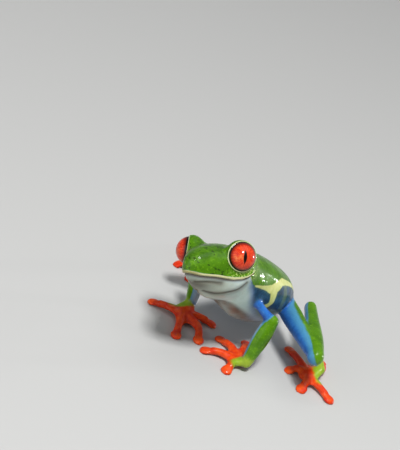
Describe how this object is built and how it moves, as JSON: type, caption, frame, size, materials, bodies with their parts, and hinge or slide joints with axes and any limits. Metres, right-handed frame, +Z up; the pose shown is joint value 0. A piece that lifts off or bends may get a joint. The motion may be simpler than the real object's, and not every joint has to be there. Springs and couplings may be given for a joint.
{
  "type": "red-eyed tree frog",
  "caption": "Life-size still model of a red-eyed tree frog, raised on its arms with folded hind legs, head up and rolled to one side.",
  "frame": {"origin": "on the floor, under the middle of the outline", "axes": "+Z up, the snout points to -Y, the frog's left side is +X"},
  "size_m": [0.0694, 0.0548, 0.0368],
  "materials": {
    "green_skin": "moist satin skin, fine grain",
    "blue_skin": "moist satin skin, cream bars on the flank",
    "pale_skin": "moist satin skin, grey-white",
    "orange_skin": "moist satin skin, orange-red",
    "red_eye": "wet clear gloss"
  },
  "bodies": {
    "root": {"head": "green_skin", "throat": "pale_skin", "trunk": "green_skin", "left_eye": "red_eye", "right_eye": "red_eye", "left_upper_arm": "blue_skin", "left_forearm": "green_skin", "left_hand": "orange_skin", "left_finger_1": "orange_skin", "left_finger_2": "orange_skin", "left_finger_3": "orange_skin", "left_finger_4": "orange_skin", "left_thigh": "blue_skin", "left_shank": "green_skin", "left_tarsus": "green_skin", "left_foot": "orange_skin", "left_toe_1": "orange_skin", "left_toe_2": "orange_skin", "left_toe_3": "orange_skin", "left_toe_4": "orange_skin", "left_toe_5": "orange_skin", "right_upper_arm": "blue_skin", "right_forearm": "green_skin", "right_hand": "orange_skin", "right_finger_1": "orange_skin", "right_finger_2": "orange_skin", "right_finger_3": "orange_skin", "right_finger_4": "orange_skin", "right_thigh": "blue_skin", "right_shank": "green_skin", "right_tarsus": "green_skin", "right_foot": "orange_skin", "right_toe_1": "orange_skin", "right_toe_2": "orange_skin", "right_toe_3": "orange_skin", "right_toe_4": "orange_skin", "right_toe_5": "orange_skin"}
  },
  "joints": []
}
